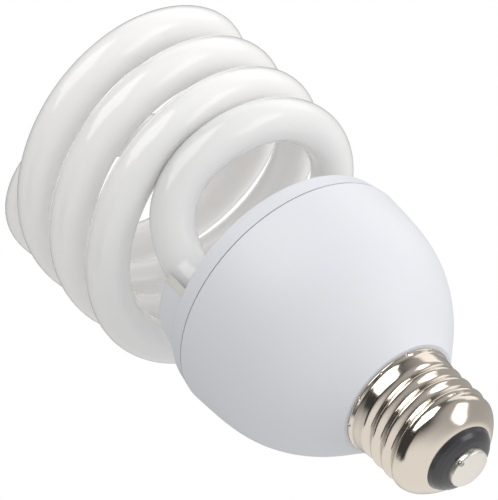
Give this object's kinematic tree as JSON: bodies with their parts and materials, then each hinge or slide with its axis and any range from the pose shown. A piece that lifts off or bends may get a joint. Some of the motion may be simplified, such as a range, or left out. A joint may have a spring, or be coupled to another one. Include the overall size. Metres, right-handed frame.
{
  "type": "grow light bulb",
  "caption": "Compact fluorescent grow lamp: two-strand spiral glass tube on a bowl-shaped white ballast housing with an Edison screw base.",
  "frame": {"origin": "on the lamp's axis, level with the lowest point of the spiral head, on which the lamp stands", "axes": "+Z along the axis from the spiral head to the centre contact; +X towards the side 31 degrees before the first tube leg"},
  "size_m": [0.0746, 0.0736, 0.1348],
  "materials": {
    "warm_white_glass": "phosphor-coated glass, glossy warm white, opaque",
    "white_plastic": "satin cool white moulded plastic",
    "cement": "dull yellowish cement",
    "nickel_plate": "bright nickel plate",
    "black_glass": "glossy black glass",
    "contact_metal": "pale warm metal",
    "solder": "dull solder",
    "board": "phenolic board",
    "capacitor_sleeve": "dark shrink sleeve",
    "ferrite": "dark grey ferrite",
    "bobbin_plastic": "pale moulded plastic",
    "copper": "enamelled copper",
    "film_capacitor": "dipped resin",
    "dark_resin": "moulded resin",
    "diac_glass": "coated glass",
    "resistor_coat": "lacquer",
    "lead_wire": "tinned wire",
    "wire_cover": "insulated wire"
  },
  "bodies": {
    "root": {"discharge_tube": "warm_white_glass", "tube_cover": "white_plastic", "tube_cement": "cement", "ballast_housing": "white_plastic", "screw_shell": "nickel_plate", "base_insulator": "black_glass", "centre_contact": "contact_metal", "contact_solder": "solder", "circuit_board": "board", "bus_capacitor": "capacitor_sleeve", "choke_core": "ferrite", "choke_bobbin": "bobbin_plastic", "choke_winding": "copper", "toroid_core": "ferrite", "toroid_windings": "copper", "filter_core": "ferrite", "filter_winding": "copper", "film_capacitors": "film_capacitor", "resonant_capacitor": "film_capacitor", "transistors": "dark_resin", "rectifier_diodes": "dark_resin", "diac": "diac_glass", "resistors": "resistor_coat", "fusible_resistor": "resistor_coat", "tube_leads": "lead_wire", "live_wire": "wire_cover", "neutral_wire": "wire_cover"}
  },
  "joints": []
}
